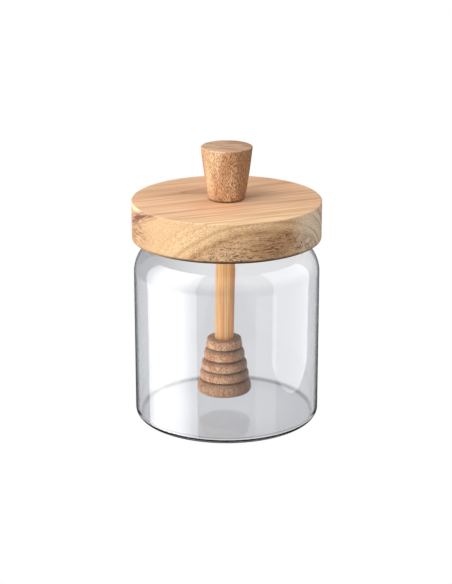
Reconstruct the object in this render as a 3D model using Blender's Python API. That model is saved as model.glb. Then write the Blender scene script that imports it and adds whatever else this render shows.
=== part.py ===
"""Clear glass jar with a thick turned wooden lid, and a honey dipper that hangs from the lid's knob.

The jar stands on the XY plane with its axis on Z. The glass neck stands inside the lid's recess. The dipper's
rod runs from a socket in the knob, through the lid, into a socket in the ringed head. It leans by a degree.
"""
import math

import bmesh
import bpy

MM = 0.001

# Jar
JAR_RADIUS = 49.2 * MM
WALL = 2.0 * MM
FLOOR_THICKNESS = 2.1 * MM
HEEL_RADIUS = 4.3 * MM
SHOULDER_START = 80.2 * MM
SHOULDER_RADIUS = 17.5 * MM
SHOULDER_SWEEP = 58.0
NECK_FILLET = 4.0 * MM
RIM_HEIGHT = 108.0 * MM

# Lid
LID_RADIUS = 50.0 * MM
LID_BOTTOM = 98.8 * MM
LID_TOP = 119.5 * MM
LID_EDGE_ROUND = 0.7 * MM
NECK_ROOM = 0.8 * MM
SEAT_GAP = 0.3 * MM

# Knob
KNOB_FOOT_RADIUS = 9.5 * MM
KNOB_TOP_RADIUS = 13.55 * MM
KNOB_TOP = 147.8 * MM
KNOB_BULGE = 0.35 * MM
KNOB_EDGE_ROUND = 0.8 * MM

# Dipper, whose rod leans by so many degrees while its head hangs upright
LEAN = 1.0
ROD_RADIUS = 5.2 * MM
ROD_REACH = 14.0 * MM
SOCKET_DEPTH = 15.0 * MM
BORE_RADIUS = 5.8 * MM

# Head of the dipper, with its rings and grooves from the bottom up
HEAD_BOTTOM = 12.65 * MM
HEAD_TOP = 42.8 * MM
RING_RADII = [14.55 * MM, 13.3 * MM, 12.35 * MM, 11.0 * MM]
GROOVE_HEIGHTS = [19.8 * MM, 25.3 * MM, 31.1 * MM, 37.3 * MM]
COLLAR_RADIUS = 9.8 * MM
COLLAR_TAPER = 0.6 * MM
GROOVE_DEPTH = 1.5 * MM
GROOVE_RISE = 0.5 * MM
RING_EDGE_ROUND = 0.5 * MM
SHOULDER_SHARE = 0.55
SHOULDER_STEPS = 4

# Sides of the turned pieces, and steps along the knob's side
WIDE_SIDES = 64
NARROW_SIDES = 36
ROD_SIDES = 24
KNOB_SIDE_STEPS = 5


def clear_scene():
    for thing in list(bpy.data.objects):
        bpy.data.objects.remove(thing, do_unlink=True)


def arc(centre, radius, start, end, steps):
    """Points (r, z) on a round stretch of an outline, with angles in degrees from the outward direction."""
    points = []
    for step in range(steps + 1):
        angle = math.radians(start + (end - start) * step / steps)
        points.append((centre[0] + radius * math.cos(angle), centre[1] + radius * math.sin(angle)))
    return points


def surface(name, colour, roughness):
    """A material with the surface's linear colour, and its shader for further settings."""
    material = bpy.data.materials.new(name)
    material.use_nodes = True
    shader = material.node_tree.nodes["Principled BSDF"]
    shader.inputs["Base Color"].default_value = (*colour, 1.0)
    shader.inputs["Roughness"].default_value = roughness
    shader.inputs["Metallic"].default_value = 0.0
    return material, shader


def wood(name, colour, roughness):
    return surface(name, colour, roughness)[0]


def clear_glass():
    material, shader = surface("clear glass", (0.97, 0.98, 0.98), 0.02)
    shader.inputs["IOR"].default_value = 1.47
    shader.inputs["Transmission Weight"].default_value = 1.0
    return material


def turned(name, outline, sides, material, closed=False):
    """An object made by turning an outline of (r, z) points about Z. A closed outline joins its ends."""
    shape = bmesh.new()
    verts = [shape.verts.new((r, 0.0, z)) for r, z in outline]
    edges = [shape.edges.new(pair) for pair in zip(verts, verts[1:])]
    if closed:
        edges.append(shape.edges.new((verts[-1], verts[0])))
    bmesh.ops.spin(
        shape, geom=verts + edges, cent=(0, 0, 0), axis=(0, 0, 1),
        angle=math.tau, steps=sides, use_merge=True,
    )
    bmesh.ops.remove_doubles(shape, verts=shape.verts, dist=1e-6)
    bmesh.ops.recalc_face_normals(shape, faces=shape.faces)
    mesh = bpy.data.meshes.new(name)
    shape.to_mesh(mesh)
    shape.free()
    mesh.materials.append(material)
    mesh.shade_smooth()
    mesh.set_sharp_from_angle(angle=math.radians(35))
    piece = bpy.data.objects.new(name, mesh)
    bpy.context.scene.collection.objects.link(piece)
    return piece


def neck_fillet_centre():
    """Centre of the hollow curve that turns the shoulder into the upright neck."""
    sweep = math.radians(SHOULDER_SWEEP)
    reach = SHOULDER_RADIUS + NECK_FILLET
    r = JAR_RADIUS - SHOULDER_RADIUS + reach * math.cos(sweep)
    z = SHOULDER_START + reach * math.sin(sweep)
    return r, z


def neck_radius():
    return neck_fillet_centre()[0] - NECK_FILLET


def make_jar():
    """The glass follows its outer side up to the round rim, then goes down inside it, one wall away."""
    heel = (JAR_RADIUS - HEEL_RADIUS, HEEL_RADIUS)
    inner_heel_radius = HEEL_RADIUS - WALL / 2
    inner_heel = (JAR_RADIUS - WALL - inner_heel_radius, FLOOR_THICKNESS + inner_heel_radius)
    shoulder = (JAR_RADIUS - SHOULDER_RADIUS, SHOULDER_START)
    fillet = neck_fillet_centre()
    rim_radius = WALL / 2
    rim = (neck_radius() - rim_radius, RIM_HEIGHT - rim_radius)
    outline = [(0.0, 0.0)]
    outline += arc(heel, HEEL_RADIUS, -90, 0, 4)
    outline += arc(shoulder, SHOULDER_RADIUS, 0, SHOULDER_SWEEP, 7)
    outline += arc(fillet, NECK_FILLET, 180 + SHOULDER_SWEEP, 180, 3)[1:]
    outline += arc(rim, rim_radius, 0, 180, 4)
    outline += arc(fillet, NECK_FILLET + WALL, 180, 180 + SHOULDER_SWEEP, 3)
    outline += arc(shoulder, SHOULDER_RADIUS - WALL, SHOULDER_SWEEP, 0, 7)[1:]
    outline += arc(inner_heel, inner_heel_radius, 0, -90, 3)
    outline.append((0.0, FLOOR_THICKNESS))
    return turned("glass_jar", outline, WIDE_SIDES, clear_glass())


def make_lid():
    """A thick disc with a recess for the neck and a bore for the rod. Its origin is at its underside."""
    thickness = LID_TOP - LID_BOTTOM
    ceiling = RIM_HEIGHT + SEAT_GAP - LID_BOTTOM
    recess = neck_radius() + NECK_ROOM
    edge = LID_EDGE_ROUND
    outline = [(BORE_RADIUS, ceiling), (recess, ceiling)]
    outline += [(recess, edge / 2), (recess + edge / 2, 0.0)]
    outline += arc((LID_RADIUS - edge, edge), edge, -90, 0, 2)
    outline += arc((LID_RADIUS - edge, thickness - edge), edge, 0, 90, 2)
    outline.append((BORE_RADIUS, thickness))
    lid = turned("lid", outline, WIDE_SIDES, wood("pale wood", (0.62, 0.38, 0.20), 0.5), closed=True)
    lid.location.z = LID_BOTTOM
    return lid


def make_knob():
    """A cone, wide end up, with slightly full sides and a socket for the rod. Its origin is at its foot."""
    foot = LID_TOP + SEAT_GAP
    height = KNOB_TOP - foot
    edge = KNOB_EDGE_ROUND
    outline = [(0.0, SOCKET_DEPTH), (BORE_RADIUS, SOCKET_DEPTH), (BORE_RADIUS, 0.0)]
    outline += arc((KNOB_FOOT_RADIUS - edge / 2, edge / 2), edge / 2, -90, -20, 2)
    for step in range(1, KNOB_SIDE_STEPS):
        share = step / KNOB_SIDE_STEPS
        radius = KNOB_FOOT_RADIUS + share * (KNOB_TOP_RADIUS - KNOB_FOOT_RADIUS)
        outline.append((radius + 4 * KNOB_BULGE * share * (1 - share), share * height))
    outline += arc((KNOB_TOP_RADIUS - edge, height - edge), edge, 0, 90, 3)
    outline.append((0.0, height))
    knob = turned("knob", outline, NARROW_SIDES, wood("tan wood", (0.52, 0.29, 0.14), 0.55))
    knob.location.z = foot
    return knob


def make_rod(pivot):
    """A plain round stick. It reaches up into the knob and down into the head's socket."""
    top = ROD_REACH
    bottom = HEAD_TOP - LID_TOP - SOCKET_DEPTH + SEAT_GAP
    half = (top - bottom) / 2
    outline = [(0.0, -half), (ROD_RADIUS, -half), (ROD_RADIUS, half), (0.0, half)]
    rod = turned("rod", outline, ROD_SIDES, wood("bamboo", (0.74, 0.47, 0.22), 0.45))
    rod.parent = pivot
    rod.location.z = (top + bottom) / 2
    return rod


def ring_outline(floor, radius, edge, groove):
    """One ring of the head: its lower edge, its side, and its shoulder up to the groove (r, z) above."""
    drop = SHOULDER_SHARE * (groove[1] - floor)
    points = arc((radius - edge, floor + edge), edge, -60, 0, 2)
    for step in range(SHOULDER_STEPS + 1):
        angle = math.radians(90 * step / SHOULDER_STEPS)
        r = groove[0] + (radius - groove[0]) * math.cos(angle)
        z = groove[1] - drop * (1 - math.sin(angle))
        points.append((r, z))
    return points


def make_head(pivot):
    """Four rings and a collar that narrow upwards. Its origin is at its top.

    The rod's socket widens a little towards its floor, which leaves room for the rod's lean.
    """
    radii_above = RING_RADII[1:] + [COLLAR_RADIUS]
    edges = [2 * RING_EDGE_ROUND] + [RING_EDGE_ROUND] * (len(RING_RADII) - 1)
    floor = HEAD_BOTTOM - HEAD_TOP
    outline = [(0.0, floor)]
    for radius, edge, groove_height, radius_above in zip(RING_RADII, edges, GROOVE_HEIGHTS, radii_above):
        groove = (radius_above - GROOVE_DEPTH, groove_height - HEAD_TOP)
        outline += ring_outline(floor, radius, edge, groove)
        floor = groove[1] + GROOVE_RISE
    outline += arc((COLLAR_RADIUS - RING_EDGE_ROUND, floor + RING_EDGE_ROUND), RING_EDGE_ROUND, -60, 0, 2)
    outline.append((COLLAR_RADIUS - COLLAR_TAPER, -RING_EDGE_ROUND))
    outline.append((COLLAR_RADIUS - COLLAR_TAPER - RING_EDGE_ROUND, 0.0))
    outline += [(ROD_RADIUS + SEAT_GAP, 0.0), (BORE_RADIUS, -SOCKET_DEPTH), (0.0, -SOCKET_DEPTH)]
    head = turned("dipper_head", outline, NARROW_SIDES, wood("brown wood", (0.38, 0.20, 0.11), 0.6))
    head.parent = pivot
    head.location.z = HEAD_TOP - LID_TOP
    head.rotation_euler.y = -math.radians(LEAN)
    return head


def make_pivot():
    """The dipper leans about the place where its rod leaves the top of the lid."""
    pivot = bpy.data.objects.new("dipper_pivot", None)
    bpy.context.scene.collection.objects.link(pivot)
    pivot.location.z = LID_TOP
    pivot.rotation_euler.y = math.radians(LEAN)
    return pivot


def main():
    clear_scene()
    make_jar()
    make_lid()
    make_knob()
    pivot = make_pivot()
    make_rod(pivot)
    make_head(pivot)


main()
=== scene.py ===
"""Clear glass jar with a thick turned wooden lid, and a honey dipper that hangs from the lid's knob.

Each piece is drawn as a fine outline and turned about Z, with the sizes of the CAD node it stands for.
"""
import math

import bmesh
import bpy
from mathutils import Matrix, Vector


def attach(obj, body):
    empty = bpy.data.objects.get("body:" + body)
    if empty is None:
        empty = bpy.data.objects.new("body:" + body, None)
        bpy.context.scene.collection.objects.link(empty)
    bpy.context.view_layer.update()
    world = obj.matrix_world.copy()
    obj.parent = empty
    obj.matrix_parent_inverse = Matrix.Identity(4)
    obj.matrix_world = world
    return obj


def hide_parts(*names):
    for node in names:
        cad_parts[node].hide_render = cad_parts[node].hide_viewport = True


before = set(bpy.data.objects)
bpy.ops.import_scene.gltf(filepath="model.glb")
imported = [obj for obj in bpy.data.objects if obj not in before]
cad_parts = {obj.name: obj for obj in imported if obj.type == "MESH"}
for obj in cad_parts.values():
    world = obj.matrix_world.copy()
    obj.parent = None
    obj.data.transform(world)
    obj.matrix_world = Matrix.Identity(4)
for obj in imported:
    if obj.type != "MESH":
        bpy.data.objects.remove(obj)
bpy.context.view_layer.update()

MM = 0.001

# Jar, whose floor rises a little towards its middle
JAR_RADIUS = 49.2 * MM
WALL = 2.0 * MM
FLOOR_THICKNESS = 2.1 * MM
HEEL_RADIUS = 4.3 * MM
FLOOR_RISE = 1.7 * MM
FLOOR_STEPS = 10
SHOULDER_START = 80.2 * MM
SHOULDER_RADIUS = 17.5 * MM
SHOULDER_SWEEP = 58.0
NECK_FILLET = 4.0 * MM
RIM_HEIGHT = 108.0 * MM

# Lid
LID_RADIUS = 50.0 * MM
LID_BOTTOM = 98.8 * MM
LID_TOP = 119.5 * MM
LID_EDGE_ROUND = 0.7 * MM
NECK_ROOM = 0.8 * MM
SEAT_GAP = 0.3 * MM

# Knob
KNOB_FOOT_RADIUS = 9.5 * MM
KNOB_TOP_RADIUS = 13.55 * MM
KNOB_TOP = 147.8 * MM
KNOB_BULGE = 0.35 * MM
KNOB_EDGE_ROUND = 0.8 * MM

# Dipper, whose rod leans by so many degrees while its head hangs upright. The rod reaches this far above the
# top of the lid
LEAN = 1.0
ROD_RADIUS = 5.2 * MM
ROD_REACH = 14.0 * MM
ROD_EDGE_ROUND = 0.5 * MM
SOCKET_DEPTH = 15.0 * MM
BORE_RADIUS = 5.8 * MM

# Head of the dipper, its rings and grooves from the bottom up. A ring's shoulder is a share of its height
HEAD_BOTTOM = 12.65 * MM
HEAD_TOP = 42.8 * MM
RING_RADII = [14.55 * MM, 13.3 * MM, 12.35 * MM, 11.0 * MM]
GROOVE_HEIGHTS = [19.8 * MM, 25.3 * MM, 31.1 * MM, 37.3 * MM]
COLLAR_RADIUS = 9.8 * MM
COLLAR_TAPER = 0.6 * MM
GROOVE_DEPTH = 1.5 * MM
GROOVE_RISE = 0.5 * MM
RING_EDGE_ROUND = 0.8 * MM
SHOULDER_SHARE = 0.62

# Sides of the turned pieces, how near their doubles lie, and the least angle in degrees of a crisp edge
WIDE_SIDES = 192
NARROW_SIDES = 96
MERGE_DISTANCE = 1e-6
CRISP_ANGLE = 35.0

# Camera: how far down it looks, where it stands, and the photograph's height and focal length in pixels
CAMERA_PITCH = 17.994
CAMERA_PLACE = (0.0, -0.91285, 0.36448)
PHOTO_HEIGHT = 584
FOCAL_PIXELS = 1800
AXIS_SHIFT_PIXELS = -0.7
SENSOR_WIDTH = 36.0

# The lid's board: its grain runs this many degrees round from X. Its pith lies this far in front of the jar's
# axis and this high, both in millimetres
GRAIN_TURN = 22.0
PITH_FORWARD = 94.5
PITH_HEIGHT = 52.7

# Growth of the board, in millimetres: how far its bands sway, how far a knot swells them, and how wide the
# fine ones are. The heartwood ends this far from the pith, and a brown streak lies further out and reaches
# this far to both sides
BAND_SWAY = 4.0
KNOT_SWELLING = 3.0
FINE_BAND = 2.6
HEARTWOOD_END = 76.5
BROWN_STREAK = 103.0
BROWN_STREAK_REACH = 1.5

# Marks on the lid: the centre of each and how far it reaches from there, in millimetres along the grain,
# across it and up. The bruise is measured in a frame that is turned about the grain by its slant, in degrees
TOP_HEIGHT = LID_TOP / MM
BOTTOM_HEIGHT = LID_BOTTOM / MM
KNOT_SWELL = (6.0, 21.0, TOP_HEIGHT), (26.0, 9.0, 16.0)
KNOT_LENS = (-1.0, 19.6, TOP_HEIGHT), (17.0, 5.2, 40.0)
# A painted warm reflection of the knob on the top, in front of it
KNOB_REFLECTION = (-9.0, -12.0, TOP_HEIGHT), (22.0, 12.0, 30.0)
BROWN_FACE = (6.0, -50.0, 106.0), (26.0, 24.0, 9.5)
BRUISE = (-49.0, -43.4, 107.2), (20.0, 28.0, 4.6)
BRUISE_SLANT = 20.0
# A cream edge of sapwood, brightened as a painted highlight
CREAM_EDGE_HIGHLIGHT = (-49.5, 6.0, 119.6), (14.0, 18.0, 4.0)
DASHED_END = (-49.0, 2.0, 107.0), (17.0, 21.0, 10.5)
# Pale wood at the right end, made paler with painted light
PALE_END_AND_SHEEN = (34.0, -36.0, 110.0), (22.0, 34.0, 26.0)
ARCED_END = (42.0, -28.0, 108.0), (26.0, 30.0, 24.0)
# Painted shade along the lower edge
SHADED_EDGE = (-18.0, -46.0, BOTTOM_HEIGHT - 0.4), (75.0, 72.0, 5.0)

# Share of a patch's reach over which it keeps its full strength
PATCH_CORE = 0.25

# Heights in millimetres between which what shows on the lid's side gives way to what shows on its top
SIDE_END = TOP_HEIGHT - 0.4
TOP_START = TOP_HEIGHT - 0.1

# Grain of the woods, as the length and width of its marks in millimetres. Real pores, flecks and fibres are
# about 0.2 mm wide. That is under half a pixel of the picture, so they are drawn about twice as coarse
ACACIA_WANDER = (60.0, 16.0)
ACACIA_STREAK = (52.0, 2.1)
ACACIA_FIBRE = (24.0, 0.8)
ACACIA_FINE_PORE = (1.4, 0.45)
ACACIA_WIDE_PORE = (6.0, 0.4)
ACACIA_PORE_ROW = (24.0, 2.0)
BRUISE_STROKE = (11.0, 1.1)
END_DASH = (6.0, 0.7)
BEECH_TONE = (40.0, 7.0)
BEECH_FLECK = (1.3, 0.45)
BEECH_TOP_LINE = (16.0, 1.6)
BAMBOO_TONE = (120.0, 2.6)
BAMBOO_FIBRE = (60.0, 0.7)
STEAMED_TONE = (9.0, 3.0)
STEAMED_FLECK = (1.2, 0.4)

# Turns that lay X along the grain: upright in the knob, the rod and the head, and level on top of the knob
UPRIGHT_GRAIN = (0.0, math.radians(90), 0.0)
KNOB_TOP_GRAIN = (0.0, 0.0, math.radians(14))

# IOR of the woods and of the glass, and the depth of the deepest pore
WOOD_IOR = 1.48
GLASS_IOR = 1.47
PORE_DEPTH = 0.2 * MM

# Sockets of a node that mixes two colours
SHARE, BELOW, ABOVE, MIXED = 0, 6, 7, 2

# Studio: a panel of so many watts a square metre looks plain white. The table lies a hair under the jar.
# Table and room are plain white to the eye, and this bright as fill light and in the gloss of the glass.
# The top light points at a height on the jar's axis
WHITE_WATTS = 4
TABLE_REACH = 3.0
TABLE_DROP = 0.4 * MM
TABLE_FILL = 0.4
ROOM_FILL = 0.2
ROOM_IN_GLOSS = 0.12
TOP_LIGHT_SIZE = 1.2
TOP_LIGHT_BRIGHTNESS = 1.15
TOP_LIGHT_PLACE = (-0.25, -0.1, 1.3)
TOP_LIGHT_AIM = 0.1


# Drawing and turning

def draw_line(shape, tip, point):
    """Carry the outline on from its tip to a point (r, z)."""
    tip = bmesh.ops.extrude_vert_indiv(shape, verts=[tip])["verts"][0]
    tip.co = (point[0], 0.0, point[1])
    return tip


def draw_arc(shape, tip, centre, sweep, steps, stretch=1.0):
    """Carry the outline on round a centre (r, z), anticlockwise by sweep degrees, stretched along z."""
    before = len(shape.verts)
    middle = Vector((centre[0], 0.0, centre[1]))
    bmesh.ops.spin(shape, geom=[tip], cent=middle, axis=(0, -1, 0), angle=math.radians(sweep), steps=steps)
    shape.verts.ensure_lookup_table()
    drawn = shape.verts[before:]
    bmesh.ops.scale(shape, vec=(1, 1, stretch), space=Matrix.Translation(-middle), verts=drawn)
    return drawn[-1]


def turned(start, strokes, sides, closed=False):
    """A solid turned about Z. Its outline starts at (r, z). A stroke is the end of a line, or else an arc's
    centre, sweep, steps and stretch."""
    shape = bmesh.new()
    first = tip = shape.verts.new((start[0], 0.0, start[1]))
    for stroke in strokes:
        if len(stroke) == 2:
            tip = draw_line(shape, tip, stroke)
        else:
            tip = draw_arc(shape, tip, *stroke)
    if closed:
        shape.edges.new((tip, first))
    bmesh.ops.spin(
        shape, geom=shape.verts[:] + shape.edges[:], cent=(0, 0, 0), axis=(0, 0, 1),
        angle=math.tau, steps=sides, use_merge=True,
    )
    bmesh.ops.remove_doubles(shape, verts=shape.verts, dist=MERGE_DISTANCE)
    bmesh.ops.recalc_face_normals(shape, faces=shape.faces)
    return shape


def finished(name, node, shape, place, material):
    """The piece that stands for a CAD node, with its place in its mesh."""
    shape.transform(place)
    mesh = bpy.data.meshes.new(name)
    shape.to_mesh(mesh)
    shape.free()
    mesh.materials.append(material)
    mesh.shade_smooth()
    mesh.set_sharp_from_angle(angle=math.radians(CRISP_ANGLE))
    piece = bpy.data.objects.new(name, mesh)
    bpy.context.scene.collection.objects.link(piece)
    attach(piece, "root")
    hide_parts(node)
    return piece


# Nodes and patterns

def linear(code):
    """An sRGB hex colour as linear red, green and blue, with a full alpha."""
    channels = [int(code[i:i + 2], 16) / 255 for i in (1, 3, 5)]
    return (*[c / 12.92 if c <= 0.04045 else ((c + 0.055) / 1.055) ** 2.4 for c in channels], 1.0)


def add(tree, kind, feeds=None, stops=None, **settings):
    """Add a node with its settings. Feeds give its sockets a value or the node that feeds them, and stops
    are a colour ramp's places and colours."""
    node = tree.nodes.new(kind)
    for setting, value in settings.items():
        setattr(node, setting, value)
    for socket, value in (feeds or {}).items():
        if isinstance(value, bpy.types.Node):
            value = value.outputs[0]
        if isinstance(value, bpy.types.NodeSocket):
            tree.links.new(value, node.inputs[socket])
        else:
            node.inputs[socket].default_value = value
    if stops:
        ramp = node.color_ramp
        for end, (place, colour) in zip((0, -1), (stops[0], stops[-1])):
            ramp.elements[end].position = place
            ramp.elements[end].color = colour
        for place, colour in stops[1:-1]:
            ramp.elements.new(place).color = colour
    return node


def new_material(name):
    """An empty material with its output, ready for shaders."""
    material = bpy.data.materials.new(name)
    material.use_nodes = True
    tree = material.node_tree
    tree.nodes.clear()
    return material, tree, tree.nodes.new("ShaderNodeOutputMaterial")


def grain_space(tree, turn):
    """Object coordinates in millimetres, turned so that X runs along the grain."""
    where = add(tree, "ShaderNodeTexCoord")
    return add(
        tree, "ShaderNodeMapping",
        {"Vector": where.outputs["Object"], "Rotation": turn, "Scale": (1 / MM, 1 / MM, 1 / MM)},
    )


def stretched_noise(tree, board, size, detail=2.0, shift=(0.0, 0.0, 0.0)):
    """Noise whose spots have this length along the grain and this width across it."""
    length, width = size
    place = add(
        tree, "ShaderNodeMapping",
        {"Vector": board, "Location": shift, "Scale": (1 / length, 1 / width, 1 / width)},
    )
    return add(tree, "ShaderNodeTexNoise", {"Vector": place, "Scale": 1.0, "Detail": detail})


def stretched_strokes(tree, board, size):
    """Noise in level strokes of this length and height, where the surface cuts across the grain."""
    length, height = size
    place = add(tree, "ShaderNodeMapping", {"Vector": board, "Scale": (1 / length, 1 / length, 1 / height)})
    return add(tree, "ShaderNodeTexNoise", {"Vector": place, "Scale": 1.0, "Detail": 2.0})


def distance_share(tree, board, mark):
    """How far a place is off a mark's centre: 0 there and 1 at its reach."""
    centre, reach = mark
    place = add(tree, "ShaderNodeMapping", {
        "Vector": board, "Location": [-c / r for c, r in zip(centre, reach)], "Scale": [1 / r for r in reach],
    })
    return add(tree, "ShaderNodeVectorMath", {0: place}, operation="LENGTH").outputs["Value"]


def patch(tree, board, mark, most=1.0):
    """The most at a mark's centre, falling to none at its reach."""
    off_centre = distance_share(tree, board, mark)
    return add(
        tree, "ShaderNodeMapRange",
        {"Value": off_centre, "From Min": PATCH_CORE, "From Max": 1.0, "To Min": most, "To Max": 0.0},
        interpolation_type="SMOOTHSTEP",
    )


def lay(tree, below, above, pattern, low=None, high=None, most=1.0):
    """A colour laid over the one below: not at all where the pattern is low, and the most where it is high.
    Without these limits, the pattern is itself the share of the colour above."""
    share = pattern
    if low is not None:
        share = add(
            tree, "ShaderNodeMapRange", {"Value": pattern, "From Min": low, "From Max": high, "To Max": most},
            interpolation_type="SMOOTHSTEP",
        )
    mix = add(tree, "ShaderNodeMix", {SHARE: share, BELOW: below, ABOVE: above}, data_type="RGBA")
    return mix.outputs[MIXED]


def wood_surface(tree, out, colour, height, roughness, relief):
    """The finish of all the wood here: a satin skin that dips where the height does."""
    bump = add(tree, "ShaderNodeBump", {"Height": height, "Strength": relief, "Distance": PORE_DEPTH})
    shader = add(
        tree, "ShaderNodeBsdfPrincipled",
        {"Base Color": colour, "Roughness": roughness, "IOR": WOOD_IOR, "Normal": bump},
    )
    tree.links.new(shader.outputs[0], out.inputs[0])


# Wood of the lid

def by_face(tree, height, on_side, on_top):
    """One strength on the lid's side and another on its flat top."""
    return add(tree, "ShaderNodeMapRange", {
        "Value": height, "From Min": SIDE_END, "From Max": TOP_START, "To Min": on_side, "To Max": on_top,
    })


def growth_depth(tree, board):
    """Distance from the board's pith in millimetres. It wanders a little along the grain, and swells at the
    knot behind the knob."""
    wander = stretched_noise(tree, board, ACACIA_WANDER)
    sway = add(
        tree, "ShaderNodeVectorMath",
        {0: wander.outputs["Color"], 1: (0.0, BAND_SWAY, BAND_SWAY), 2: board},
        operation="MULTIPLY_ADD",
    )
    # The noise is one half on average, so half the sway is taken off again
    pith = (0.0, PITH_FORWARD - BAND_SWAY / 2, -PITH_HEIGHT - BAND_SWAY / 2)
    from_pith = add(tree, "ShaderNodeMapping", {"Vector": sway, "Location": pith, "Scale": (0.0, 1.0, 1.0)})
    distance = add(tree, "ShaderNodeVectorMath", {0: from_pith}, operation="LENGTH").outputs["Value"]
    swell = patch(tree, board, KNOT_SWELL, KNOT_SWELLING)
    return add(tree, "ShaderNodeMath", {0: distance, 1: swell}, operation="ADD")


def growth_bands(tree, height, depth, fine_bands):
    """Cream, tan and brown wood by its distance from the pith, with fine bands and one brown streak in it."""
    tones = [
        (64, "#E3BE9A"), (70, "#E6C29E"), (74, "#DEB592"), (75.6, "#B4855F"), (77, "#E4BC95"),
        (79, "#ECC8A2"), (80.2, "#C39872"), (81.5, "#EAC79E"), (84.2, "#EDCBA2"), (85.2, "#DCB48A"),
        (86.5, "#ECC99E"), (88, "#DEB68B"), (90, "#E2BC94"), (95, "#DFB68F"), (103, "#E2B893"),
        (112, "#E6BC97"), (115, "#D2A37F"), (117, "#E6BB96"), (126, "#E4B893"), (129, "#E2B690"),
        (131, "#CFA07C"), (133, "#DFB28C"), (146, "#E0B48E"), (164, "#E3B893"),
    ]
    near, far = tones[0][0], tones[-1][0]
    stops = [((mark - near) / (far - near), linear(tone)) for mark, tone in tones]
    reach = add(tree, "ShaderNodeMapRange", {"Value": depth, "From Min": near, "From Max": far})
    body = add(tree, "ShaderNodeValToRGB", {"Fac": reach}, stops=stops)
    banded = lay(tree, body, linear("#A97A58"), fine_bands, 0.46, 0.72, by_face(tree, height, 0.12, 0.35))
    past_streak = add(tree, "ShaderNodeMath", {0: depth, 1: BROWN_STREAK}, operation="SUBTRACT")
    off_streak = add(tree, "ShaderNodeMath", {0: past_streak}, operation="ABSOLUTE")
    streak = by_face(tree, height, 0.1, 0.4)
    return lay(tree, banded, linear("#AE7858"), off_streak, BROWN_STREAK_REACH, 0.0, streak)


def yellow_side(tree, board, height, depth, colour):
    """The side is yellower than the top, and brown in the heartwood where it follows the grain."""
    yellowed = lay(tree, colour, linear("#E0BC80"), by_face(tree, height, 0.32, 0.0))
    brown = patch(tree, board, BROWN_FACE, by_face(tree, height, 0.6, 0.0))
    return lay(tree, yellowed, linear("#B07C52"), depth, HEARTWOOD_END + 1.5, HEARTWOOD_END - 1.5, brown)


def streaked_top(tree, board, height, colour):
    """Dark and light streaks on the top, which start and end along the grain."""
    streaks = stretched_noise(tree, board, ACACIA_STREAK, 4.0, (2.0, 7.0, 0.0))
    darkened = lay(tree, colour, linear("#AE7A5C"), streaks, 0.51, 0.63, by_face(tree, height, 0.0, 0.34))
    return lay(tree, darkened, linear("#F6D5B4"), streaks, 0.47, 0.36, by_face(tree, height, 0.0, 0.3))


def knot_lens(tree, board, height, colour):
    """The knot behind the knob shows as a lens with a brown outline."""
    off_knot = distance_share(tree, board, KNOT_LENS)
    outlined = lay(tree, colour, linear("#A56F4C"), off_knot, 1.10, 0.99, by_face(tree, height, 0.0, 0.55))
    return lay(tree, outlined, linear("#CFA27E"), off_knot, 0.97, 0.84, by_face(tree, height, 0.0, 0.7))


def bruised_end(tree, board, height, colour):
    """A purple-brown bruise at the left end, in strokes that rise towards the front, under a cream sapwood
    edge that is brightened as a painted highlight. Dark dashes lie round the end beside it."""
    turn = (math.radians(BRUISE_SLANT), 0.0, 0.0)
    slant = add(tree, "ShaderNodeMapping", {"Vector": board, "Rotation": turn})
    strokes = stretched_strokes(tree, slant, BRUISE_STROKE)
    bruise = patch(tree, slant, BRUISE, by_face(tree, height, 0.9, 0.0))
    bruised = lay(tree, colour, linear("#70403F"), strokes, 0.35, 0.51, bruise)
    # The cream sapwood edge is laid this pale as a painted highlight
    cream = patch(tree, board, CREAM_EDGE_HIGHLIGHT, by_face(tree, height, 0.8, 0.0))
    cream_edge_lit = lay(tree, bruised, linear("#FFEBC4"), cream)
    dashes = stretched_strokes(tree, board, END_DASH)
    dashed_end = patch(tree, board, DASHED_END, by_face(tree, height, 0.75, 0.0))
    return lay(tree, cream_edge_lit, linear("#7A5343"), dashes, 0.43, 0.60, dashed_end)


def pale_end_and_sheen(tree, board, height, fine_bands, colour):
    """The right end is pale wood, made paler still with painted light, and the fine bands show in it as brown
    arcs.
    """
    pale = patch(tree, board, PALE_END_AND_SHEEN, by_face(tree, height, 0.74, 0.0))
    paled_and_sheened = lay(tree, colour, linear("#FFEAD0"), pale)
    arcs = patch(tree, board, ARCED_END, by_face(tree, height, 0.7, 0.0))
    return lay(tree, paled_and_sheened, linear("#94694C"), fine_bands, 0.50, 0.61, arcs)


def open_pores(tree, board, height, depth, colour):
    """Fine pores all round the side, and wide dark ones in rows in the heartwood."""
    fine = stretched_noise(tree, board, ACACIA_FINE_PORE, shift=(9.0, 1.0, 5.0))
    speckled = lay(tree, colour, linear("#8F5F3C"), fine, 0.46, 0.68, by_face(tree, height, 0.5, 0.0))
    wide = stretched_noise(tree, board, ACACIA_WIDE_PORE, shift=(3.0, 1.0, 2.0))
    rows = stretched_noise(tree, board, ACACIA_PORE_ROW, shift=(1.0, 4.0, 0.0))
    in_heartwood = add(
        tree, "ShaderNodeMapRange",
        {"Value": depth, "From Min": HEARTWOOD_END + 2.5, "From Max": HEARTWOOD_END - 2.5, "To Max": 0.9},
        interpolation_type="SMOOTHSTEP",
    )
    in_rows = add(
        tree, "ShaderNodeMapRange",
        {"Value": rows, "From Min": 0.34, "From Max": 0.60, "To Max": in_heartwood},
        interpolation_type="SMOOTHSTEP",
    )
    return lay(tree, speckled, linear("#64391E"), wide, 0.44, 0.60, by_face(tree, height, in_rows, 0.0))


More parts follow.
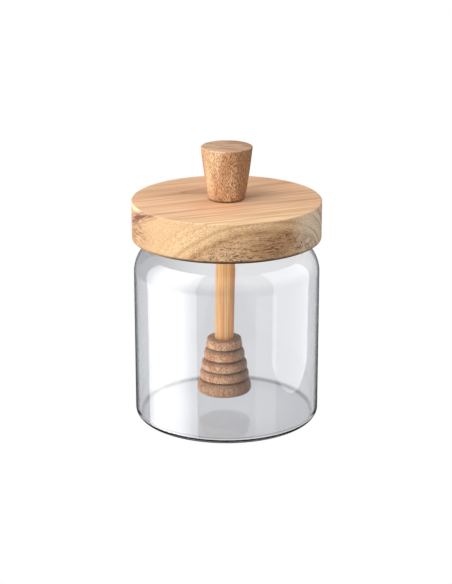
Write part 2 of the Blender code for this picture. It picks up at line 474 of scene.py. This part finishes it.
def oiled_acacia():
    """Acacia board, turned, sanded and oiled. Cream sapwood lies over brown heartwood in growth bands of
    uneven width. They show as straight lines on the flat top and as slanting bands and arcs round the side.
    Open pores run along the grain: dark strokes where the side follows it, and dots where it cuts across."""
    material, tree, out = new_material("oiled acacia")
    board = grain_space(tree, (0.0, 0.0, -math.radians(GRAIN_TURN)))
    height = add(tree, "ShaderNodeSeparateXYZ", {0: board}).outputs["Z"]
    depth = growth_depth(tree, board)
    fine_bands = add(
        tree, "ShaderNodeTexNoise", {"W": depth, "Scale": 1 / FINE_BAND, "Detail": 4.0, "Roughness": 0.7},
        noise_dimensions="1D",
    )
    banded = growth_bands(tree, height, depth, fine_bands)
    sided = yellow_side(tree, board, height, depth, banded)
    streaked = streaked_top(tree, board, height, sided)
    knotted = knot_lens(tree, board, height, streaked)

    # Fine fibres all over, and a painted warm reflection of the knob on the top in front of it
    fibres = stretched_noise(tree, board, ACACIA_FIBRE, 3.0)
    fibred = lay(tree, knotted, linear("#B08263"), fibres, 0.44, 0.66, 0.3)
    knob_reflection = patch(tree, board, KNOB_REFLECTION, by_face(tree, height, 0.0, 0.3))
    knob_reflected = lay(tree, fibred, linear("#CF8A5E"), knob_reflection)

    bruised = bruised_end(tree, board, height, knob_reflected)
    paled_and_sheened = pale_end_and_sheen(tree, board, height, fine_bands, bruised)
    pored = open_pores(tree, board, height, depth, paled_and_sheened)

    # Painted shade darkens the lower edge along the front
    edge = patch(tree, board, SHADED_EDGE)
    edge_shaded = lay(tree, pored, linear("#3E271B"), height, BOTTOM_HEIGHT + 2.0, BOTTOM_HEIGHT + 0.6, edge)
    wood_surface(tree, out, edge_shaded, fibres, 0.5, 0.12)
    return material


# Wood of the knob and the dipper

def knob_top(tree, height, colour):
    """Duller end grain on top of the knob, with growth lines across it."""
    start, end = KNOB_TOP - 0.3 * MM, KNOB_TOP - 0.05 * MM
    topped = lay(tree, colour, linear("#C2A188"), height, start, end, 0.75)
    on_top = add(tree, "ShaderNodeMapRange", {
        "Value": height, "From Min": start, "From Max": end, "To Max": 0.7,
    })
    lines = stretched_noise(tree, grain_space(tree, KNOB_TOP_GRAIN), BEECH_TOP_LINE, 3.0, (4.0, 2.0, 0.0))
    return lay(tree, topped, linear("#8A5F42"), lines, 0.50, 0.66, on_top)


def sanded_beech():
    """Beech, turned from a dowel and sanded. Its grain stands upright, with short dark flecks all over the
    side and a duller end grain on top."""
    material, tree, out = new_material("sanded beech")
    board = grain_space(tree, UPRIGHT_GRAIN)
    spot = add(tree, "ShaderNodeSeparateXYZ", {0: add(tree, "ShaderNodeTexCoord").outputs["Object"]})
    tone = stretched_noise(tree, board, BEECH_TONE)
    body = lay(tree, linear("#F0CA9F"), linear("#D2A075"), tone, 0.35, 0.65)

    # Painted shade darkens the right side, and makes its flecks stronger there
    flecks = stretched_noise(tree, board, BEECH_FLECK, shift=(5.0, 3.0, 1.0))
    strength = add(tree, "ShaderNodeMapRange", {
        "Value": spot.outputs["X"], "From Min": -10 * MM, "From Max": 5 * MM, "To Min": 0.55, "To Max": 0.9,
    })
    flecked = lay(tree, body, linear("#77452A"), flecks, 0.40, 0.62, strength)
    sided = lay(tree, flecked, linear("#8A5C3E"), spot.outputs["X"], 0 * MM, 10 * MM, 0.6)

    # Painted shade darkens the foot where it meets the lid
    topped = knob_top(tree, spot.outputs["Z"], sided)
    foot = LID_TOP + SEAT_GAP
    footed = lay(tree, topped, linear("#5E3B26"), spot.outputs["Z"], foot + 1.2 * MM, foot, 0.8)
    wood_surface(tree, out, footed, flecks, 0.5, 0.2)
    return material


def sanded_bamboo():
    """Bamboo stick, split, rounded and sanded. Fine fibres run along it in yellow, orange and brown lines,
    and painted shade darkens its right side."""
    material, tree, out = new_material("sanded bamboo")
    board = grain_space(tree, UPRIGHT_GRAIN)
    tone = stretched_noise(tree, board, BAMBOO_TONE, 1.0, (0.0, 2.0, 0.0))
    body = lay(tree, linear("#FFD496"), linear("#FFB26C"), tone, 0.36, 0.64)
    fibres = stretched_noise(tree, board, BAMBOO_FIBRE)
    lined = lay(tree, body, linear("#A8653A"), fibres, 0.45, 0.66, 0.42)
    spot = add(tree, "ShaderNodeSeparateXYZ", {0: add(tree, "ShaderNodeTexCoord").outputs["Object"]})
    # Painted shade on the right side
    sided = lay(tree, lined, linear("#A87F5E"), spot.outputs["X"], 1 * MM, 5 * MM, 0.6)
    wood_surface(tree, out, sided, fibres, 0.45, 0.1)
    return material


def steamed_beech():
    """Steamed beech, turned in rings. Steaming turns it red-brown, and its close flecks stay darker."""
    material, tree, out = new_material("steamed beech")
    board = grain_space(tree, UPRIGHT_GRAIN)
    tone = stretched_noise(tree, board, STEAMED_TONE)
    body = lay(tree, linear("#FFCC9E"), linear("#E9AA7E"), tone, 0.38, 0.62)
    flecks = stretched_noise(tree, board, STEAMED_FLECK, shift=(5.0, 3.0, 1.0))
    flecked = lay(tree, body, linear("#5C3623"), flecks, 0.40, 0.68, 0.8)

    # Painted shade, by which way the surface faces: a little on the shoulders of the rings, and much on their
    # undersides
    where = add(tree, "ShaderNodeTexCoord")
    facing = add(tree, "ShaderNodeSeparateXYZ", {0: where.outputs["Normal"]})
    shouldered = lay(tree, flecked, linear("#5A4337"), facing.outputs["Z"], 0.1, 0.75, 0.45)
    underside_shaded = lay(tree, shouldered, linear("#33302F"), facing.outputs["Z"], -0.4, -0.95, 0.9)

    # Painted shade darkens the head to the right, and it is darker towards its foot
    spot = add(tree, "ShaderNodeSeparateXYZ", {0: where.outputs["Object"]})
    sided = lay(tree, underside_shaded, linear("#4A3B33"), spot.outputs["X"], -6 * MM, 13 * MM, 0.72)
    foot = linear("#6E4A33")
    footed = lay(tree, sided, foot, spot.outputs["Z"], HEAD_BOTTOM + 14 * MM, HEAD_BOTTOM, 0.45)
    wood_surface(tree, out, footed, flecks, 0.55, 0.25)
    return material


# Glass of the jar

def outline_share(tree, where, outwards):
    """How edge-on the outer wall stands to the eye, up to 1 at the outline. The inner wall has none of it."""
    edge = add(tree, "ShaderNodeLayerWeight", {"Blend": 0.5})
    facing = add(
        tree, "ShaderNodeVectorMath", {0: where.outputs["Normal"], 1: outwards}, operation="DOT_PRODUCT",
    )
    outside = add(tree, "ShaderNodeMath", {0: facing.outputs["Value"], 1: 0.0}, operation="GREATER_THAN")
    return add(tree, "ShaderNodeMath", {0: outside, 1: edge.outputs["Facing"]}, operation="MULTIPLY")


def shoulder_shade_and_light(tree, spot, outline, tint):
    """Painted shade greys the shoulder on the left, and painted light clears the rest of it, up to its dark
    outline.
    """
    leftwards = add(tree, "ShaderNodeMapRange", {
        "Value": spot.outputs["X"], "From Min": 5 * MM, "From Max": -40 * MM, "To Max": 0.5,
    })
    grey = linear("#B4B5B9")
    left_shaded = lay(tree, tint, grey, spot.outputs["Z"], SHOULDER_START, SHOULDER_START + 2 * MM, leftwards)
    inside_outline = add(tree, "ShaderNodeMapRange", {
        "Value": outline, "From Min": 0.72, "From Max": 0.55, "To Max": 0.85,
    })
    rightwards = add(tree, "ShaderNodeMapRange", {
        "Value": spot.outputs["X"], "From Min": -38 * MM, "From Max": -12 * MM, "To Max": inside_outline,
    })
    start, end = SHOULDER_START + 2 * MM, SHOULDER_START + 8 * MM
    return lay(tree, left_shaded, linear("#FFFFFF"), spot.outputs["Z"], start, end, rightwards)


def base_shade(tree, spot, outwards, tint):
    """Painted shade greys the floor, and darkens the heel where it turns under, which outlines the base all
    round.
    """
    floor_shaded = lay(tree, tint, linear("#8E8F94"), spot.outputs["Z"], HEEL_RADIUS, 0.0, 0.42)
    radius = add(tree, "ShaderNodeVectorMath", {0: outwards}, operation="LENGTH").outputs["Value"]
    on_heel = add(tree, "ShaderNodeMapRange", {
        "Value": radius, "From Min": JAR_RADIUS - 4 * MM, "From Max": JAR_RADIUS - 3 * MM, "To Max": 0.75,
    })
    return lay(tree, floor_shaded, linear("#333438"), spot.outputs["Z"], 3.2 * MM, 1.0 * MM, on_heel)


def blown_glass():
    """Soda-lime glass, blown thin. It is almost colourless, with painted shade at its outline, where the eye
    looks along the wall, and painted shade and light on its shoulder and base. Lamps shine through it."""
    material, tree, out = new_material("blown glass")
    where = add(tree, "ShaderNodeTexCoord")
    spot = add(tree, "ShaderNodeSeparateXYZ", {0: where.outputs["Object"]})
    outwards = add(
        tree, "ShaderNodeVectorMath", {0: where.outputs["Object"], 1: (1.0, 1.0, 0.0)}, operation="MULTIPLY",
    )
    outline = outline_share(tree, where, outwards)
    # The glass's own faint tint, darkened at the outline as painted shade
    tint = add(tree, "ShaderNodeValToRGB", {"Fac": outline}, stops=[
        (0.0, linear("#ECEDEF")), (0.71, linear("#E6E7EA")),
        (0.80, linear("#6A6C70")), (1.0, linear("#3A3C40")),
    ])
    shouldered = shoulder_shade_and_light(tree, spot, outline, tint)
    base_shaded = base_shade(tree, spot, outwards, shouldered)
    glass = add(
        tree, "ShaderNodeBsdfPrincipled",
        {"Base Color": base_shaded, "Roughness": 0.0, "IOR": GLASS_IOR, "Transmission Weight": 1.0},
    )
    path = add(tree, "ShaderNodeLightPath")
    clear = add(tree, "ShaderNodeBsdfTransparent", {"Color": linear("#FAFAFB")})
    shone_through = add(tree, "ShaderNodeMixShader", {0: path.outputs["Is Shadow Ray"], 1: glass, 2: clear})
    tree.links.new(shone_through.outputs[0], out.inputs[0])
    return material


# Pieces

def neck_fillet_centre():
    """Centre of the hollow curve that turns the shoulder into the upright neck."""
    reach = SHOULDER_RADIUS + NECK_FILLET
    sweep = math.radians(SHOULDER_SWEEP)
    return JAR_RADIUS - SHOULDER_RADIUS + reach * math.cos(sweep), SHOULDER_START + reach * math.sin(sweep)


def floor_line(height, steps):
    """Points of the jar's floor, which rises gently to the middle, at these steps out from it."""
    shares = [step / FLOOR_STEPS for step in steps]
    return [((JAR_RADIUS - HEEL_RADIUS) * s, height + FLOOR_RISE * (1 - s * s)) for s in shares]


def make_jar():
    """One closed shell: up the outside from the middle of the base, over the rim and down the inside."""
    fillet = neck_fillet_centre()
    neck = fillet[0] - NECK_FILLET
    shoulder = (JAR_RADIUS - SHOULDER_RADIUS, SHOULDER_START)
    inner_heel = HEEL_RADIUS - WALL / 2
    shape = turned((0.0, FLOOR_RISE), [
        *floor_line(0.0, range(1, FLOOR_STEPS + 1)),
        ((JAR_RADIUS - HEEL_RADIUS, HEEL_RADIUS), 90, 10),
        (JAR_RADIUS, SHOULDER_START),
        (shoulder, SHOULDER_SWEEP, 18),
        (fillet, -SHOULDER_SWEEP, 8),
        (neck, RIM_HEIGHT - WALL / 2),
        ((neck - WALL / 2, RIM_HEIGHT - WALL / 2), 180, 10),
        (neck - WALL, fillet[1]),
        (fillet, SHOULDER_SWEEP, 8),
        (shoulder, -SHOULDER_SWEEP, 18),
        (JAR_RADIUS - WALL, FLOOR_THICKNESS + inner_heel),
        ((JAR_RADIUS - WALL - inner_heel, FLOOR_THICKNESS + inner_heel), -90, 8),
        *floor_line(FLOOR_THICKNESS, range(FLOOR_STEPS - 1, -1, -1)),
    ], WIDE_SIDES)
    return finished("jar", "glass_jar", shape, Matrix(), blown_glass())


def make_lid():
    """A thick disc with a recess for the neck below and a bore for the rod."""
    ceiling = RIM_HEIGHT + SEAT_GAP
    recess = neck_fillet_centre()[0] - NECK_FILLET + NECK_ROOM
    edge = LID_EDGE_ROUND
    shape = turned((BORE_RADIUS, ceiling), [
        (recess, ceiling),
        (recess, LID_BOTTOM + edge / 2),
        ((recess + edge / 2, LID_BOTTOM + edge / 2), 90, 3),
        (LID_RADIUS - edge, LID_BOTTOM),
        ((LID_RADIUS - edge, LID_BOTTOM + edge), 90, 5),
        (LID_RADIUS, LID_TOP - edge),
        ((LID_RADIUS - edge, LID_TOP - edge), 90, 5),
        (BORE_RADIUS, LID_TOP),
    ], WIDE_SIDES, closed=True)
    finished("turned_lid", "lid", shape, Matrix(), oiled_acacia())


def make_knob():
    """A cone with its wide end up, a slight bulge in its side and a socket for the rod."""
    foot = LID_TOP + SEAT_GAP
    height = KNOB_TOP - foot
    edge = KNOB_EDGE_ROUND
    flare = KNOB_TOP_RADIUS - KNOB_FOOT_RADIUS
    side = [
        (KNOB_FOOT_RADIUS + flare * s + 4 * KNOB_BULGE * s * (1 - s), foot + height * s)
        for s in (0.05, 0.2, 0.35, 0.5, 0.65, 0.8, 0.92)
    ]
    shape = turned((0.0, foot + SOCKET_DEPTH), [
        (BORE_RADIUS, foot + SOCKET_DEPTH),
        (BORE_RADIUS, foot),
        (KNOB_FOOT_RADIUS - edge / 2, foot),
        ((KNOB_FOOT_RADIUS - edge / 2, foot + edge / 2), 70, 4),
        *side,
        (KNOB_TOP_RADIUS, KNOB_TOP - edge),
        ((KNOB_TOP_RADIUS - edge, KNOB_TOP - edge), 90, 6),
        (0.0, KNOB_TOP),
    ], NARROW_SIDES)
    finished("turned_knob", "knob", shape, Matrix(), sanded_beech())


def lean():
    """The dipper leans about the place where its rod leaves the top of the lid."""
    return Matrix.Translation((0, 0, LID_TOP)) @ Matrix.Rotation(math.radians(LEAN), 4, "Y")


def make_rod():
    """A plain stick from inside the head to inside the knob, drawn from the place it leans about."""
    bottom = HEAD_TOP - LID_TOP - SOCKET_DEPTH + SEAT_GAP
    edge = ROD_EDGE_ROUND
    shape = turned((0.0, bottom), [
        (ROD_RADIUS - edge, bottom),
        ((ROD_RADIUS - edge, bottom + edge), 90, 3),
        (ROD_RADIUS, ROD_REACH - edge),
        ((ROD_RADIUS - edge, ROD_REACH - edge), 90, 3),
        (0.0, ROD_REACH),
    ], NARROW_SIDES)
    finished("bamboo_rod", "rod", shape, lean(), sanded_bamboo())


def ring_strokes(floor, radius, edge, groove):
    """A ring's underside, its lower edge, its side and its shoulder, up to the groove (r, z) above it."""
    drop = SHOULDER_SHARE * (groove[1] - floor)
    width = radius - groove[0]
    return [
        (radius - edge, floor),
        ((radius - edge, floor + edge), 90, 4),
        (radius, groove[1] - drop),
        ((groove[0], groove[1] - drop), 90, 10, drop / width),
    ]


def make_head():
    """Rings with grooves between them, then a collar with the rod's socket. It is drawn down from its top."""
    radii_above = RING_RADII[1:] + [COLLAR_RADIUS]
    edges = [2 * RING_EDGE_ROUND] + [RING_EDGE_ROUND] * (len(RING_RADII) - 1)
    floor = HEAD_BOTTOM - HEAD_TOP
    strokes = []
    for radius, edge, height, radius_above in zip(RING_RADII, edges, GROOVE_HEIGHTS, radii_above):
        groove = (radius_above - GROOVE_DEPTH, height - HEAD_TOP)
        strokes += ring_strokes(floor, radius, edge, groove)
        floor = groove[1] + GROOVE_RISE
        strokes.append((groove[0], floor))
    edge = RING_EDGE_ROUND
    rim = COLLAR_RADIUS - COLLAR_TAPER
    strokes += [
        (COLLAR_RADIUS - edge, floor),
        ((COLLAR_RADIUS - edge, floor + edge), 90, 4),
        (rim, -edge),
        ((rim - edge, -edge), 90, 4),
        (ROD_RADIUS + SEAT_GAP, 0.0),
        (BORE_RADIUS, -SOCKET_DEPTH),
        (0.0, -SOCKET_DEPTH),
    ]
    shape = turned((0.0, HEAD_BOTTOM - HEAD_TOP), strokes, NARROW_SIDES)
    down = Matrix.Translation((0, 0, HEAD_TOP - LID_TOP))
    upright = Matrix.Rotation(-math.radians(LEAN), 4, "Y")
    finished("ringed_head", "dipper_head", shape, lean() @ down @ upright, steamed_beech())


# Studio

def make_floor():
    """A plain white table, white to the eye and dimmer as it bounces light. No gloss shows it."""
    material, tree, out = new_material("white table")
    path = add(tree, "ShaderNodeLightPath")
    bounce = add(tree, "ShaderNodeEmission", {"Color": linear("#FFFFFF"), "Strength": TABLE_FILL})
    seen = add(tree, "ShaderNodeEmission", {"Color": linear("#FFFFFF"), "Strength": 1.0})
    mixed = add(tree, "ShaderNodeMixShader", {0: path.outputs["Diffuse Depth"], 1: seen, 2: bounce})
    tree.links.new(mixed.outputs[0], out.inputs[0])
    shape = bmesh.new()
    bmesh.ops.create_grid(shape, x_segments=1, y_segments=1, size=TABLE_REACH)
    bmesh.ops.translate(shape, vec=(0, 0, -TABLE_DROP), verts=shape.verts)
    mesh = bpy.data.meshes.new("table")
    shape.to_mesh(mesh)
    shape.free()
    mesh.materials.append(material)
    table = bpy.data.objects.new("table", mesh)
    bpy.context.scene.collection.objects.link(table)
    table.visible_glossy = False
    table.visible_shadow = False


def make_room():
    """White all round to the eye, softer as fill light, and dim in the glass."""
    world = bpy.data.worlds.new("studio")
    bpy.context.scene.world = world
    world.use_nodes = True
    tree = world.node_tree
    tree.nodes.clear()
    path = add(tree, "ShaderNodeLightPath")
    in_gloss = add(tree, "ShaderNodeMapRange", {
        "Value": path.outputs["Is Glossy Ray"], "To Min": 1.0, "To Max": ROOM_IN_GLOSS,
    })
    through_glass = add(tree, "ShaderNodeMapRange", {
        "Value": path.outputs["Is Transmission Ray"], "To Min": in_gloss, "To Max": 1.0,
    })
    level = add(tree, "ShaderNodeMapRange", {
        "Value": path.outputs["Diffuse Depth"], "To Min": through_glass, "To Max": ROOM_FILL,
    })
    background = add(tree, "ShaderNodeBackground", {"Color": linear("#FFFFFF"), "Strength": level})
    add(tree, "ShaderNodeOutputWorld", {"Surface": background})


def soften(lamp, border, edge_glow):
    """Let a panel of light fade towards its upright edges, over a border that is a share of its width, as the
    cloth of a softbox does. The edge glow is what is left at the edges themselves."""
    lamp.use_nodes = True
    tree = lamp.node_tree
    tree.nodes.clear()
    place = add(tree, "ShaderNodeNewGeometry").outputs["Parametric"]
    across = add(tree, "ShaderNodeSeparateXYZ", {0: place}).outputs["X"]
    rise = add(
        tree, "ShaderNodeMapRange", {"Value": across, "From Max": border, "To Min": edge_glow},
        interpolation_type="SMOOTHSTEP",
    )
    fade = add(
        tree, "ShaderNodeMapRange",
        {"Value": across, "From Min": 1.0, "From Max": 1.0 - border, "To Min": edge_glow, "To Max": rise},
        interpolation_type="SMOOTHSTEP",
    )
    glow = add(tree, "ShaderNodeEmission", {"Color": linear("#FFFFFF"), "Strength": fade})
    add(tree, "ShaderNodeOutputLight", {"Surface": glow})


def make_softbox(
    name, turn, distance, width, low, high, brightness, only_in=None, border=0.14, edge_glow=0.0,
):
    """An upright panel of light, so many degrees round to the left of the camera, from one height to another.
    It lights the wood and no gloss shows it, or else it only shows as a reflection in one piece. A brightness
    of 1 is plain white."""
    height = high - low
    lamp = bpy.data.lights.new(name, "AREA")
    lamp.shape = "RECTANGLE"
    lamp.size = width
    lamp.size_y = height
    lamp.energy = brightness * width * height * WHITE_WATTS
    panel = bpy.data.objects.new(name, lamp)
    bpy.context.scene.collection.objects.link(panel)
    angle = math.radians(turn)
    panel.location = (-distance * math.sin(angle), -distance * math.cos(angle), (low + high) / 2)
    panel.rotation_euler = (math.radians(90), 0, math.radians(-turn))
    panel.visible_camera = False
    panel.visible_transmission = False
    if only_in:
        shown = bpy.data.collections.new(name)
        shown.objects.link(only_in)
        panel.light_linking.receiver_collection = shown
    else:
        panel.visible_glossy = False
    soften(lamp, border, edge_glow)


def make_top_light():
    """A wide soft light overhead, for the lid and the knob, which leans towards the jar's axis."""
    lamp = bpy.data.lights.new("top light", "AREA")
    lamp.shape = "SQUARE"
    lamp.size = TOP_LIGHT_SIZE
    lamp.energy = TOP_LIGHT_BRIGHTNESS * TOP_LIGHT_SIZE * TOP_LIGHT_SIZE * WHITE_WATTS
    light = bpy.data.objects.new("top light", lamp)
    bpy.context.scene.collection.objects.link(light)
    light.location = TOP_LIGHT_PLACE
    light.rotation_euler = (0.0, math.atan2(TOP_LIGHT_PLACE[0], TOP_LIGHT_PLACE[2] - TOP_LIGHT_AIM), 0.0)
    light.visible_camera = False
    light.visible_glossy = False
    light.visible_transmission = False


def make_camera():
    """The camera, with the place, tilt and lens named above."""
    lens = bpy.data.cameras.new("camera")
    lens.sensor_width = SENSOR_WIDTH
    lens.lens = FOCAL_PIXELS * SENSOR_WIDTH / PHOTO_HEIGHT
    lens.shift_x = AXIS_SHIFT_PIXELS / PHOTO_HEIGHT
    camera = bpy.data.objects.new("camera", lens)
    camera.location = CAMERA_PLACE
    camera.rotation_euler = (math.radians(90 - CAMERA_PITCH), 0, 0)
    bpy.context.scene.collection.objects.link(camera)
    bpy.context.scene.camera = camera


make_camera()
glass_jar = make_jar()
make_lid()
make_knob()
make_rod()
make_head()
make_floor()
make_room()
make_top_light()

# Two softboxes light the wood, and three panels are only seen as reflections in the glass
make_softbox(
    "left softbox", turn=60.0, distance=0.7, width=1.11, low=-0.65, high=1.9, brightness=2.35,
)
make_softbox(
    "high fill from the right", turn=-70.0, distance=0.9, width=0.7, low=0.6, high=2.0, brightness=3.2,
)
make_softbox(
    "left panel in the glass", turn=74.0, distance=0.65, width=1.016, low=-0.6, high=2.1, brightness=8.0,
    only_in=glass_jar, border=0.4, edge_glow=0.34,
)
make_softbox(
    "right panel in the glass", turn=-87.0, distance=0.65, width=0.78, low=-0.24, high=4.0, brightness=2.15,
    only_in=glass_jar, border=0.06, edge_glow=0.6,
)
make_softbox(
    "low panel in the glass", turn=-49.0, distance=0.8, width=0.42, low=-0.75, high=-0.13, brightness=0.85,
    only_in=glass_jar, border=0.1, edge_glow=0.4,
)
bpy.context.scene.view_settings.view_transform = "Standard"
